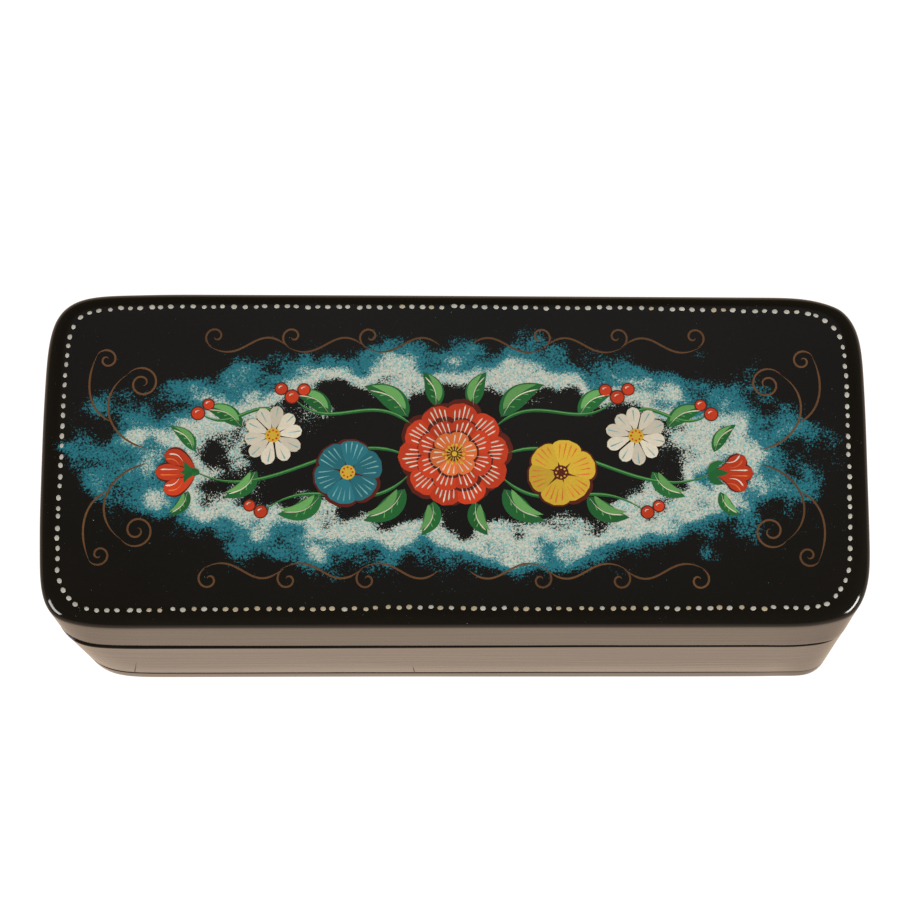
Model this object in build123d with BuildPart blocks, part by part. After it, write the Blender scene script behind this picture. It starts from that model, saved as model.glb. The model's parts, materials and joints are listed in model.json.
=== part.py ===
"""A long lacquered papier-mache box with a hinged lid.

The box stands on the XY plane, centred on the origin, with its front towards -Y
and +Z up. Walls are wound pasteboard rings, closed below and above by pressed
plates. A knuckled strip let into the back of each ring, and one wire through
both, make the hinge. All sizes are in millimetres.
"""

from build123d import *
from math import radians, sqrt, tan
import os

# Outside of the box
LENGTH = 160.0
DEPTH = 67.5
BASE_HEIGHT = 32.4  # from the table to the rim that the lid closes on
LID_HEIGHT = 17.6
CORNER_RADIUS = 11.5
END_BOW = 0.9  # the middle of each short end stands this far out of its corners
TOP_EDGE_RADIUS = 3.5
FOOT_EDGE_RADIUS = 0.8
RIM_EDGE_RADIUS = 0.45  # shows as the dark line under the lid
PLATE_EDGE_RADIUS = 0.25  # shows as the fine line above the bottom plate

# Plates
BOTTOM_THICKNESS = 4.1
LID_TOP_THICKNESS = 5.0

# Walls and the strip inside them that keeps the lid in line
WALL = 4.0
LIP_THICKNESS = 1.2
LIP_RISE = 1.8  # above the base's rim
LIP_EDGE_RADIUS = 0.4
LIP_CLEARANCE = 0.3  # between the lip and the inside of the lid
LIP_END_SETBACK = 3.0  # from where the back corners begin

# Hinge
HINGE_END_SETBACK = 1.6  # from where the back corners begin
HINGE_STRIP_HEIGHT = 7.0
KNUCKLE_COUNT = 7  # odd, so that both end knuckles are the base's
KNUCKLE_END_GAP = 0.4
KNUCKLE_CLEARANCE = 0.25  # round a knuckle, in the strip that it turns in
BEVEL_ANGLE = 51.0  # of the back edges, from level: two of them stop the lid
PIN_RADIUS = 0.6
PIN_FIXED_CLEARANCE = 0.02  # in the base's knuckles, which hold the wire
PIN_RUNNING_CLEARANCE = 0.06  # in the lid's knuckles, which turn on it
PIN_GROOVE_CLEARANCE = 0.15  # in the walls beyond the strips
PIN_END_SETBACK = 0.6  # from the round back corners

# Places that follow from the sizes
HALF_DEPTH = DEPTH / 2
CORNER_X = LENGTH / 2 - END_BOW
KNUCKLE_RADIUS = WALL / 2  # the barrel is as thick as the wall
AXIS_Y = HALF_DEPTH - KNUCKLE_RADIUS
AXIS_Z = BASE_HEIGHT
LID_WALL = WALL - LIP_CLEARANCE
LID_WALL_HEIGHT = LID_HEIGHT - LID_TOP_THICKNESS
LID_WALL_TOP = BASE_HEIGHT + LID_WALL_HEIGHT
SLOT_WIDTH = 2 * WALL  # cuts right through a wall
LIP_END_Y = HALF_DEPTH - CORNER_RADIUS - LIP_END_SETBACK
HINGE_LENGTH = 2 * (CORNER_X - CORNER_RADIUS - HINGE_END_SETBACK)
KNUCKLE_PITCH = HINGE_LENGTH / KNUCKLE_COUNT
KNUCKLE_LENGTH = KNUCKLE_PITCH - KNUCKLE_END_GAP
RELIEF_LENGTH = KNUCKLE_PITCH + KNUCKLE_END_GAP
KNUCKLE_CENTRES = [(i + 0.5) * KNUCKLE_PITCH - HINGE_LENGTH / 2 for i in range(KNUCKLE_COUNT)]
BASE_KNUCKLES = KNUCKLE_CENTRES[0::2]
LID_KNUCKLES = KNUCKLE_CENTRES[1::2]
# Where the hinge axis comes out of a round back corner
AXIS_EXIT_X = CORNER_X - CORNER_RADIUS + sqrt(CORNER_RADIUS**2 - (CORNER_RADIUS - KNUCKLE_RADIUS) ** 2)
PIN_LENGTH = 2 * (AXIS_EXIT_X - PIN_END_SETBACK)

along_x = Rotation(0, 90, 0)


def hinge_places(centres):
    """Places on the hinge axis at these X positions, turned so that a cylinder lies along it."""
    return Locations(*[Pos(x, AXIS_Y, AXIS_Z) * along_x for x in centres])


# Plan of the box: straight long sides, slightly bowed ends, round corners
with BuildSketch() as plan:
    with BuildLine():
        Line((-CORNER_X, -HALF_DEPTH), (CORNER_X, -HALF_DEPTH))
        ThreePointArc((CORNER_X, -HALF_DEPTH), (LENGTH / 2, 0), (CORNER_X, HALF_DEPTH))
        Line((CORNER_X, HALF_DEPTH), (-CORNER_X, HALF_DEPTH))
        ThreePointArc((-CORNER_X, HALF_DEPTH), (-LENGTH / 2, 0), (-CORNER_X, -HALF_DEPTH))
    make_face()
    fillet(plan.vertices(), CORNER_RADIUS)

with BuildSketch() as base_inside:
    offset(plan.sketch, amount=-WALL)

with BuildSketch() as lip_inside:
    offset(plan.sketch, amount=-WALL - LIP_THICKNESS)

with BuildSketch() as lid_inside:
    offset(plan.sketch, amount=-LID_WALL)

# Space that a wall leaves for the hinge, below and above the axis: a sloping back
# edge, a slot for the strip and a half-round groove for the wire
hinge_spaces = {}
for part_name, side in (("base", -1), ("lid", 1)):
    with BuildPart() as bevel:
        with BuildSketch(Plane.YZ):
            with BuildLine():
                Polyline(
                    (AXIS_Y, AXIS_Z),
                    (AXIS_Y + WALL, AXIS_Z),
                    (AXIS_Y + WALL, AXIS_Z + side * WALL * tan(radians(BEVEL_ANGLE))),
                    close=True,
                )
            make_face()
        extrude(amount=LENGTH, both=True)
    with BuildPart() as wall_space:
        add(bevel.part)
        with Locations((0, AXIS_Y, AXIS_Z + side * HINGE_STRIP_HEIGHT / 2)):
            Box(HINGE_LENGTH, SLOT_WIDTH, HINGE_STRIP_HEIGHT)
        with hinge_places([0]):
            Cylinder(PIN_RADIUS + PIN_GROOVE_CLEARANCE, LENGTH)
    hinge_spaces[part_name] = (bevel.part, wall_space.part)

# Bottom plate, which the wall stands on
with BuildPart() as bottom_plate:
    add(plan.sketch)
    extrude(amount=BOTTOM_THICKNESS)
    fillet(bottom_plate.edges().group_by(Axis.Z)[0], FOOT_EDGE_RADIUS)
    fillet(bottom_plate.edges().group_by(Axis.Z)[-1], PLATE_EDGE_RADIUS)

# Wound wall of the base
with BuildPart() as base_wall:
    with BuildSketch(Plane.XY.offset(BOTTOM_THICKNESS)):
        add(plan.sketch)
        add(base_inside.sketch, mode=Mode.SUBTRACT)
    extrude(amount=BASE_HEIGHT - BOTTOM_THICKNESS)
    fillet(base_wall.faces().sort_by(Axis.Z)[-1].outer_wire().edges(), RIM_EDGE_RADIUS)
    add(hinge_spaces["base"][1], mode=Mode.SUBTRACT)

# Lip: a thin strip glued round the inside of the front and the ends
with BuildPart() as locating_lip:
    with BuildSketch(Plane.XY.offset(BOTTOM_THICKNESS)):
        add(base_inside.sketch)
        add(lip_inside.sketch, mode=Mode.SUBTRACT)
        with Locations((0, LIP_END_Y)):
            Rectangle(LENGTH, DEPTH, align=(Align.CENTER, Align.MIN), mode=Mode.SUBTRACT)
    extrude(amount=BASE_HEIGHT + LIP_RISE - BOTTOM_THICKNESS)
    fillet(locating_lip.edges().group_by(Axis.Z)[-1], LIP_EDGE_RADIUS)

# Wound wall of the lid
with BuildPart() as lid_wall:
    with BuildSketch(Plane.XY.offset(BASE_HEIGHT)):
        add(plan.sketch)
        add(lid_inside.sketch, mode=Mode.SUBTRACT)
    extrude(amount=LID_WALL_HEIGHT)
    add(hinge_spaces["lid"][1], mode=Mode.SUBTRACT)

# Top plate of the lid, with its full round edge
with BuildPart() as lid_top:
    with BuildSketch(Plane.XY.offset(LID_WALL_TOP)):
        add(plan.sketch)
    extrude(amount=LID_TOP_THICKNESS)
    fillet(lid_top.edges().group_by(Axis.Z)[-1], TOP_EDGE_RADIUS)


# Hinge strips: each a bar in its wall, hollowed round the other's knuckles
def hinge_strip(part_name, side, own_knuckles, other_knuckles, bore_clearance):
    """One half of the hinge, hanging below the axis for side -1 and standing above it for side 1."""
    with BuildPart() as strip:
        with Locations((0, AXIS_Y, AXIS_Z + side * HINGE_STRIP_HEIGHT / 2)):
            Box(HINGE_LENGTH, 2 * KNUCKLE_RADIUS, HINGE_STRIP_HEIGHT)
        add(hinge_spaces[part_name][0], mode=Mode.SUBTRACT)
        with hinge_places(other_knuckles):
            Cylinder(KNUCKLE_RADIUS + KNUCKLE_CLEARANCE, RELIEF_LENGTH, mode=Mode.SUBTRACT)
        with hinge_places(own_knuckles):
            Cylinder(KNUCKLE_RADIUS, KNUCKLE_LENGTH)
        with hinge_places([0]):
            Cylinder(PIN_RADIUS + bore_clearance, LENGTH, mode=Mode.SUBTRACT)
    return strip


base_hinge_strip = hinge_strip("base", -1, BASE_KNUCKLES, LID_KNUCKLES, PIN_FIXED_CLEARANCE)
lid_hinge_strip = hinge_strip("lid", 1, LID_KNUCKLES, BASE_KNUCKLES, PIN_RUNNING_CLEARANCE)

# Hinge wire, from one back corner to the other
with BuildPart() as hinge_pin:
    with hinge_places([0]):
        Cylinder(PIN_RADIUS, PIN_LENGTH)

pieces = {
    "bottom_plate": bottom_plate,
    "base_wall": base_wall,
    "locating_lip": locating_lip,
    "base_hinge_strip": base_hinge_strip,
    "hinge_pin": hinge_pin,
    "lid_wall": lid_wall,
    "lid_top": lid_top,
    "lid_hinge_strip": lid_hinge_strip,
}
os.makedirs("parts", exist_ok=True)
for name, piece in pieces.items():
    piece.part.label = name
    export_step(piece.part, f"parts/{name}.step")
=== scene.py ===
import json
import math
import random
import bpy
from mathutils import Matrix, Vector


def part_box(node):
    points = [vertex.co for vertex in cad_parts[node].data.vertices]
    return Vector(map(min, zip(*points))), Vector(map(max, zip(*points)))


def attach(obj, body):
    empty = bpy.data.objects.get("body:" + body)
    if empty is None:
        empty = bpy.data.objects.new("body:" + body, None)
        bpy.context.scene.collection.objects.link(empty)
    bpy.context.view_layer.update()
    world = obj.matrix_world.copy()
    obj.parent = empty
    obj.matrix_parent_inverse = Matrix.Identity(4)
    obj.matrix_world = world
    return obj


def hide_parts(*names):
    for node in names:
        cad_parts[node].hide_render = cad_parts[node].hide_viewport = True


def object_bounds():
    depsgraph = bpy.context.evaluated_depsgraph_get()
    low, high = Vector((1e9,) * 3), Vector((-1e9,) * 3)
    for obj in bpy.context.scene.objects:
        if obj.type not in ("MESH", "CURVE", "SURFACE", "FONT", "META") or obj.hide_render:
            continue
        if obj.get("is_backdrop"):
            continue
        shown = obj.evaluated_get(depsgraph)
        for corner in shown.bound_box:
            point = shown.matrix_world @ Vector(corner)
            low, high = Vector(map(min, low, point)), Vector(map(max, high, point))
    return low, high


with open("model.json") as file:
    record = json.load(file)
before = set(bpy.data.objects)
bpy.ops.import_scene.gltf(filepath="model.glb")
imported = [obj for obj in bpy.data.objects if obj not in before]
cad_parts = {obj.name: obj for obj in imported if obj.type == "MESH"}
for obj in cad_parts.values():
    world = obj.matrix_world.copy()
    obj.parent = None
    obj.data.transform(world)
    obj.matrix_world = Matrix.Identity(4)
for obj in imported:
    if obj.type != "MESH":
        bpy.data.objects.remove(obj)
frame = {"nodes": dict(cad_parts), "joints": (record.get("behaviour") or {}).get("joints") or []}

from types import SimpleNamespace

import bmesh
import bpy
from bpy.props import FloatProperty, FloatVectorProperty, PointerProperty
from bpy.types import Operator, Panel, PropertyGroup
from mathutils import Matrix, Vector, noise

bl_info = {
    "name": "Lacquer Box",
    "version": (1, 0, 0),
    "blender": (4, 5, 0),
    "location": "View3D > Sidebar > Lacquer Box",
    "description": "Dresses a papier-mache box in black and red lacquer and paints flowers on its lid",
    "category": "Add Mesh",
}

MM = 0.001
CAD_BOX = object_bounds()

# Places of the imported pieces, in millimetres
BASE_LOW, BASE_HIGH = (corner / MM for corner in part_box("base_wall"))
TOP_LOW, TOP_HIGH = (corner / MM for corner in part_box("lid_top"))
STRIP_LOW, STRIP_HIGH = (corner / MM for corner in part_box("base_hinge_strip"))
LIP_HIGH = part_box("locating_lip")[1] / MM
HINGE_AXIS = Vector(frame["joints"][0]["pos_m"]) / MM
HALF_LENGTH = TOP_HIGH.x
HALF_DEPTH = TOP_HIGH.y
TOP = TOP_HIGH.z
SEAM = BASE_HIGH.z
PLATE_TOP = BASE_LOW.z
LID_INSIDE_TOP = TOP_LOW.z
WALL = BASE_HIGH.x - LIP_HIGH.x
STRIP_DEPTH = SEAM - STRIP_LOW.z

# How the walls make room for the hinge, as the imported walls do
BEVEL_SLOPE = math.tan(math.radians(51.0))
GROOVE_RADIUS = 0.75
CUT_MARGIN = 0.4

# Corners of the outside and the inside: the exponent of the curve, which is 2 for a round one
OUTSIDE_CORNER = 4.05
INSIDE_CORNER = 2.0

# Length of the slow waves that hand sanding leaves, along and across the box, and up its walls
WAVE_ALONG = 26.0
WAVE_UP = 14.0

# How fine the shells' meshes are, and how near two points of them are one
RING_POINTS = 760
CORNER_SAMPLES = 240
ARC_STEPS = 10
CAP_STEPS = 14
WALL_LEVELS = 10
RIM_ZONE = 1.2
GROOVE_STEPS = 32
SAME_POINT = 0.002

# How many coats of paint the lid's top leaves room for, and how far a stroke's edge goes under its surface
PAINT_LAYERS = 10
EDGE_SINK = -0.01


def linear(code):
    """Turns an sRGB hex colour into linear red, green and blue."""
    parts = [int(code[i:i + 2], 16) / 255 for i in (0, 2, 4)]
    return [p / 12.92 if p <= 0.04045 else ((p + 0.055) / 1.055) ** 2.4 for p in parts]


def length(name, description, millimetres):
    """A length that the user can change."""
    return FloatProperty(
        name=name, description=description, default=millimetres * MM, min=0.0, precision=5, unit="LENGTH"
    )


def tint(name, description, code):
    """A colour that the user can change."""
    return FloatVectorProperty(
        name=name, description=description, default=linear(code), size=3, min=0.0, max=1.0, subtype="COLOR"
    )


class LacquerBoxSizes(PropertyGroup):
    """Sizes of the shells, the border and the paint"""

    edge_radius: length("Lid edge", "How far the lid's rounded edge reaches in over its top", 3.5)
    edge_drop: length("Lid edge drop", "How far the lid's rounded edge reaches down its wall", 2.4)
    wall_lean: length("Lid wall lean", "How far in the lid's front is just below its rounded edge", 0.52)
    base_lean: length("Base lean", "How far in the bottom board's front is at its joint with the wall", 0.28)
    seam_swell: length("Seam swell", "How far the front swells out at the joint of base and lid", 0.11)
    seam_swell_left: length("Left seam swell", "Added to it in the left half of the front", 0.13)
    front_turn: length("Front turn", "How far the front's left end stands out and its right end back", 0.28)
    back_lean: length("Back lean", "How far in the middle of the lid's back edge is", 0.19)
    crown: length("Crown", "Rise of the lid's top from its edge to its middle", 0.35)
    end_bow: length("End bow", "How far the middle of each short end stands out", 0.7)
    corner_length: length("Corner length", "Stretch of the long side that a corner takes up", 22.0)
    corner_depth: length("Corner depth", "Stretch of the short side that a corner takes up", 19.5)
    inner_corner: length("Inner corner", "Corner radius of the outline that the inside follows", 11.5)
    lid_rim_rounding: length("Lid rim rounding", "Rounding of the lid's lower edge", 0.15)
    lid_gap: length("Lid gap", "Between the rims of the lid and the base", 0.04)
    lid_cove: length("Lid cove", "Hollow rounding inside the lid", 0.8)
    lip_clearance: length("Lip clearance", "Between the lip and the inside of the lid", 0.3)
    rim_ledge: length("Rim ledge", "How far the base's rim stands out from the lid along the front", 0.19)
    rim_ledge_left: length("Left rim ledge", "Added to it towards the left end", 0.2)
    plate_ledge: length("Plate ledge", "How far the bottom board stands out from the base's wall", 0.11)
    plate_lean: length("Plate lean", "How far the front of the bottom board stands out at its foot", 0.14)
    plate_lean_right: length("Right plate lean", "Added to it in the right half of the front", 0.1)
    plate_rounding: length("Plate rounding", "Rounding of the bottom plate's upper edge", 0.32)
    foot_rounding: length("Foot rounding", "Rounding of the edge that the box stands on", 0.8)
    unevenness: length("Unevenness", "Depth of the slow waves that hand sanding leaves", 0.05)
    dot_inset: length("Dot inset", "From the box's outline to the line of dots", 3.75)
    dot_pitch: length("Dot pitch", "From one border dot to the next", 2.04)
    dot_width: length("Dot width", "Across one border dot, as long as it is on average", 0.93)
    dot_relief: length("Dot relief", "Height of a border dot", 0.06)
    coat: length("Coat", "Thickness of one coat of paint", 0.015)


class LacquerBoxColours(PropertyGroup):
    """Colours of the lacquers, the pigments and the metal"""

    black: tint("Black lacquer", "Outside of the box", "0C0B0A")
    red: tint("Red lacquer", "Inside of the box", "9C1A12")
    steel: tint("Steel", "Hinge wire", "B9B6B0")
    cream: tint("Cream", "Most border dots", "C7C9C5")
    straw: tint("Straw", "Yellower border dots, most of them along the front", "C2B8A2")
    sponge_white: tint("Sponge white", "Light coat of the sponging", "DAE2DB")
    white: tint("White", "White petals and light strokes", "E6E2D4")
    vermilion: tint("Vermilion", "Large flower and berries", "D2401F")
    orange: tint("Orange", "Light strokes on the red petals", "EE7A40")
    maroon: tint("Maroon", "Hearts of the flowers", "5C1D14")
    yellow: tint("Yellow", "Yellow petals and stamens", "E2BE3E")
    green: tint("Green", "Leaves and stems", "1F6E38")
    light_green: tint("Light green", "Light sides of the leaves", "6DB267")
    teal: tint("Teal", "Blue flowers and sponging", "25798C")
    light_teal: tint("Light teal", "Light strokes on the blue petals", "7CBCC4")
    gold: tint("Old gold", "Fine scrolls", "6A4A30")
    # The floor tint is the colour of the floor's glow, which the lacquer mirrors
    floor: tint("Floor", "Warm tone that the lacquer mirrors from the paper under it", "FFE3CA")


def settings(context):
    """The user's sizes in millimetres, and the user's colours."""
    chosen = context.scene.lacquer_box_sizes
    sizes = {name: getattr(chosen, name) / MM for name in LacquerBoxSizes.__annotations__}
    return SimpleNamespace(**sizes), context.scene.lacquer_box_colours


# Finishes


def add_node(tree, kind, inputs=None, **settings):
    """Adds a node with its settings, and sets or links its inputs by name or number."""
    made = tree.nodes.new(kind)
    for key, value in settings.items():
        setattr(made, key, value)
    for key, value in (inputs or {}).items():
        if isinstance(value, bpy.types.NodeSocket):
            tree.links.new(value, made.inputs[key])
        else:
            made.inputs[key].default_value = value
    return made


def new_material(name):
    """An empty node material and its tree."""
    material = bpy.data.materials.new(name)
    material.use_nodes = True
    material.node_tree.nodes.clear()
    return material, material.node_tree


def shade(values, share=1.0):
    """A colour for a socket, made lighter or darker."""
    return (*(min(1.0, v * share) for v in values), 1.0)


def grain(tree, size_mm, detail=3.0, roughness=0.55):
    """A noise pattern whose grains have this size along X, Y and Z."""
    place = add_node(tree, "ShaderNodeTexCoord").outputs["Object"]
    scale = [1.0 / (s * MM) for s in size_mm]
    scaled = add_node(tree, "ShaderNodeMapping", {"Vector": place, "Scale": scale}).outputs[0]
    inputs = {"Vector": scaled, "Scale": 1.0, "Detail": detail, "Roughness": roughness}
    return add_node(tree, "ShaderNodeTexNoise", inputs).outputs["Fac"]


# Oil lacquer has an index near 1.5. It is lower here, to match how dimly the box in the photo mirrors the
# paper under it
LACQUER_IOR = 1.36


def lacquer_coats(tree, colours):
    """Black oil lacquer, sanded lengthwise between coats over baked board: streaks 1.5 mm wide run along
    the box in its colour, gloss and relief, under a haze of handling. The eye sees a deep black that turns
    into a streaky mirror at a low angle. Gives the colour, the roughness and the normal."""
    streaks = grain(tree, (38.0, 30.0, 1.5), detail=4.0, roughness=0.6)
    haze = grain(tree, (9.0, 9.0, 5.0), detail=2.0)
    depth = add_node(tree, "ShaderNodeMapRange", {0: streaks, 1: 0.35, 2: 0.7}).outputs[0]
    blacks = {0: depth, 6: shade(colours.black, 0.8), 7: shade(colours.black, 1.4)}
    colour = add_node(tree, "ShaderNodeMix", blacks, data_type="RGBA").outputs[2]
    polish = add_node(tree, "ShaderNodeMapRange", {0: streaks, 1: 0.3, 2: 0.7, 3: 0.07, 4: 0.13}).outputs[0]
    handling = add_node(tree, "ShaderNodeMapRange", {0: haze, 1: 0.45, 2: 0.75, 3: 0.0, 4: 0.04}).outputs[0]
    roughness = add_node(tree, "ShaderNodeMath", {0: polish, 1: handling}, operation="ADD").outputs[0]
    relief = {"Strength": 1.0, "Distance": 0.035 * MM, "Height": streaks}
    normal = add_node(tree, "ShaderNodeBump", relief).outputs[0]
    return colour, roughness, normal


# Two hairline cracks on the front: where each starts and ends, along the box and up, in millimetres
CRACKS = (((-66.3, PLATE_TOP), (-63.7, 20.0)), ((-8.5, PLATE_TOP), (-8.7, 13.0)))


def hairline(tree, x, z, start, end):
    """A crack 0.15 mm wide between two points of the front, which fades towards its end."""
    lean = (end[0] - start[0]) / (end[1] - start[1])
    waves = grain(tree, (3.0, 3.0, 4.0))
    sway = add_node(tree, "ShaderNodeMapRange", {0: waves, 3: -0.15 * MM, 4: 0.15 * MM}).outputs[0]
    slope = {0: z, 1: lean, 2: (start[0] - start[1] * lean) * MM}
    middle = add_node(tree, "ShaderNodeMath", slope, operation="MULTIPLY_ADD").outputs[0]
    off = add_node(tree, "ShaderNodeMath", {0: x, 1: middle}, operation="SUBTRACT").outputs[0]
    off = add_node(tree, "ShaderNodeMath", {0: off, 1: sway}, operation="ADD").outputs[0]
    off = add_node(tree, "ShaderNodeMath", {0: off}, operation="ABSOLUTE").outputs[0]
    across = {0: off, 1: 0.05 * MM, 2: 0.14 * MM, 3: 0.6, 4: 0.0}
    foot = {0: z, 1: (start[1] - 0.2) * MM, 2: start[1] * MM}
    tip = {0: z, 1: (start[1] + 3.0) * MM, 2: end[1] * MM, 3: 1.0, 4: 0.0}
    depth = 1.0
    for span in (across, foot, tip):
        part = add_node(tree, "ShaderNodeMapRange", span).outputs[0]
        depth = add_node(tree, "ShaderNodeMath", {0: depth, 1: part}, operation="MULTIPLY").outputs[0]
    return depth


def black_lacquer(colours):
    """Polished black oil lacquer on the walls and the bottom. Up from the bottom board's joint, where the
    board has moved, hairline cracks show brown on the front and break its gloss."""
    material, tree = new_material("polished_black_lacquer")
    colour, roughness, normal = lacquer_coats(tree, colours)
    place = add_node(tree, "ShaderNodeTexCoord").outputs["Object"]
    x, y, z = add_node(tree, "ShaderNodeSeparateXYZ", {0: place}).outputs
    cracks = {number: hairline(tree, x, z, *ends) for number, ends in enumerate(CRACKS)}
    crack = add_node(tree, "ShaderNodeMath", cracks, operation="MAXIMUM").outputs[0]
    forward = {0: y, 1: -0.9 * HALF_DEPTH * MM}
    front = add_node(tree, "ShaderNodeMath", forward, operation="LESS_THAN").outputs[0]
    crack = add_node(tree, "ShaderNodeMath", {0: crack, 1: front}, operation="MULTIPLY").outputs[0]
    board = {0: crack, 6: colour, 7: shade(colours.gold, 0.3)}
    colour = add_node(tree, "ShaderNodeMix", board, data_type="RGBA").outputs[2]
    gloss = {0: crack, 2: roughness, 3: 0.9}
    roughness = add_node(tree, "ShaderNodeMix", gloss, data_type="FLOAT").outputs[0]
    inputs = {"Base Color": colour, "Roughness": roughness, "IOR": LACQUER_IOR, "Normal": normal}
    shader = add_node(tree, "ShaderNodeBsdfPrincipled", inputs)
    add_node(tree, "ShaderNodeOutputMaterial", {0: shader.outputs[0]})
    return material


# Sponged wreath: its half length and half depth in millimetres, and its coats as shares of that size. Each
# coat gives its middle, its half width, its grain in millimetres, how bare its middle is, its pigment and
# how light it is
WREATH = (57.0, 18.0)
WREATH_COATS = (
    (0.04, 0.44, 0.5, 0.4, "teal", 0.6),
    (0.06, 0.36, 0.45, 0.4, "teal", 1.1),
    (-0.06, 0.30, 0.45, 0.4, "light_teal", 0.85),
    (-0.09, 0.29, 0.4, 0.41, "sponge_white", 0.85),
    (-0.09, 0.27, 0.6, 0.52, "light_teal", 1.2),
    (-0.08, 0.26, 0.5, 0.5, "sponge_white", 1.0),
)


def lid_lacquer(colours):
    """Painted black lacquer on the lid: under the clear coats, a sponge has left a wreath of fine grains,
    dark teal, teal and white, as a soft broken band. Dust specks a few tenths of a millimetre across lie on
    top."""
    material, tree = new_material("painted_black_lacquer")
    colour, roughness, normal = lacquer_coats(tree, colours)
    place = add_node(tree, "ShaderNodeTexCoord").outputs["Object"]
    scale = (1.0 / (WREATH[0] * MM), 1.0 / (WREATH[1] * MM), 0.0)
    oval = add_node(tree, "ShaderNodeMapping", {"Vector": place, "Scale": scale}).outputs[0]
    radius = add_node(tree, "ShaderNodeVectorMath", {0: oval}, operation="LENGTH").outputs[1]
    clouds = grain(tree, (10.0, 8.0, 400.0), detail=2.0)
    wander = add_node(tree, "ShaderNodeMapRange", {0: clouds, 1: 0.2, 2: 0.8, 3: 0.7, 4: 1.3}).outputs[0]
    reach = add_node(tree, "ShaderNodeMath", {0: radius, 1: wander}, operation="SUBTRACT").outputs[0]
    height = add_node(tree, "ShaderNodeSeparateXYZ", {0: place}).outputs[2]
    edge = {0: height, 1: (TOP - 1.5) * MM, 2: (TOP - 1.0) * MM}
    on_top = add_node(tree, "ShaderNodeMapRange", edge).outputs[0]
    for number, (middle, half_width, fine, bareness, pigment, lightness) in enumerate(WREATH_COATS):
        off = add_node(tree, "ShaderNodeMath", {0: reach, 1: middle}, operation="SUBTRACT").outputs[0]
        off = add_node(tree, "ShaderNodeMath", {0: off}, operation="ABSOLUTE").outputs[0]
        bounds = {0: off, 1: 0.0, 2: half_width, 3: bareness, 4: 0.75}
        bare = add_node(tree, "ShaderNodeMapRange", bounds, interpolation_type="SMOOTHSTEP").outputs[0]
        marks = grain(tree, (fine, fine, 7.0 + number), detail=3.0, roughness=0.7)
        over = add_node(tree, "ShaderNodeMath", {0: marks, 1: bare}, operation="SUBTRACT").outputs[0]
        left = add_node(tree, "ShaderNodeMapRange", {0: over, 1: 0.0, 2: 0.03}).outputs[0]
        left = add_node(tree, "ShaderNodeMath", {0: left, 1: on_top}, operation="MULTIPLY").outputs[0]
        paint = shade(getattr(colours, pigment), lightness)
        colour = add_node(tree, "ShaderNodeMix", {0: left, 6: colour, 7: paint}, data_type="RGBA").outputs[2]
    mapping = {"Vector": place, "Rotation": (0.0, 0.0, 0.7), "Scale": (90.0, 160.0, 40.0)}
    spots = add_node(tree, "ShaderNodeMapping", mapping).outputs[0]
    specks = add_node(tree, "ShaderNodeTexVoronoi", {"Vector": spots, "Scale": 1.0}).outputs
    size = {0: specks["Distance"], 1: 0.015, 2: 0.03, 3: 0.2, 4: 0.0}
    small = add_node(tree, "ShaderNodeMapRange", size).outputs[0]
    picked = add_node(tree, "ShaderNodeSeparateColor", {0: specks["Color"]}).outputs[0]
    few = add_node(tree, "ShaderNodeMath", {0: picked, 1: 0.72}, operation="GREATER_THAN").outputs[0]
    dust = add_node(tree, "ShaderNodeMath", {0: small, 1: few}, operation="MULTIPLY").outputs[0]
    white = shade(colours.white)
    colour = add_node(tree, "ShaderNodeMix", {0: dust, 6: colour, 7: white}, data_type="RGBA").outputs[2]
    inputs = {"Base Color": colour, "Roughness": roughness, "IOR": LACQUER_IOR, "Normal": normal}
    shader = add_node(tree, "ShaderNodeBsdfPrincipled", inputs)
    add_node(tree, "ShaderNodeOutputMaterial", {0: shader.outputs[0]})
    return material


def red_lacquer(colours):
    """Brushed cinnabar lacquer on the inside: brush marks 3 mm wide run along the box, so that the deep red
    and its soft gloss wave a little."""
    material, tree = new_material("brushed_cinnabar_lacquer")
    strokes = grain(tree, (26.0, 9.0, 3.0))
    reds = {0: strokes, 6: shade(colours.red, 0.78), 7: shade(colours.red, 1.12)}
    colour = add_node(tree, "ShaderNodeMix", reds, data_type="RGBA").outputs[2]
    gloss = {0: strokes, 1: 0.3, 2: 0.7, 3: 0.16, 4: 0.26}
    roughness = add_node(tree, "ShaderNodeMapRange", gloss).outputs[0]
    relief = {"Strength": 1.0, "Distance": 0.05 * MM, "Height": strokes}
    normal = add_node(tree, "ShaderNodeBump", relief).outputs[0]
    inputs = {"Base Color": colour, "Roughness": roughness, "IOR": LACQUER_IOR, "Normal": normal}
    shader = add_node(tree, "ShaderNodeBsdfPrincipled", inputs)
    add_node(tree, "ShaderNodeOutputMaterial", {0: shader.outputs[0]})
    return material


def hinge_board(colours):
    """Polished lacquer on the hinge strips: black like the outside at the back, and cinnabar on the face
    that looks into the box."""
    material, tree = new_material("polished_two_colour_lacquer")
    colour, roughness, normal = lacquer_coats(tree, colours)
    place = add_node(tree, "ShaderNodeTexCoord").outputs["Object"]
    depth = add_node(tree, "ShaderNodeSeparateXYZ", {0: place}).outputs[1]
    span = {0: depth, 1: (STRIP_LOW.y + 0.12) * MM, 2: (STRIP_LOW.y + 0.2) * MM, 3: 1.0, 4: 0.0}
    inside = add_node(tree, "ShaderNodeMapRange", span).outputs[0]
    both = {0: inside, 6: colour, 7: shade(colours.red)}
    colour = add_node(tree, "ShaderNodeMix", both, data_type="RGBA").outputs[2]
    inputs = {"Base Color": colour, "Roughness": roughness, "IOR": LACQUER_IOR, "Normal": normal}
    shader = add_node(tree, "ShaderNodeBsdfPrincipled", inputs)
    add_node(tree, "ShaderNodeOutputMaterial", {0: shader.outputs[0]})
    return material


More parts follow.
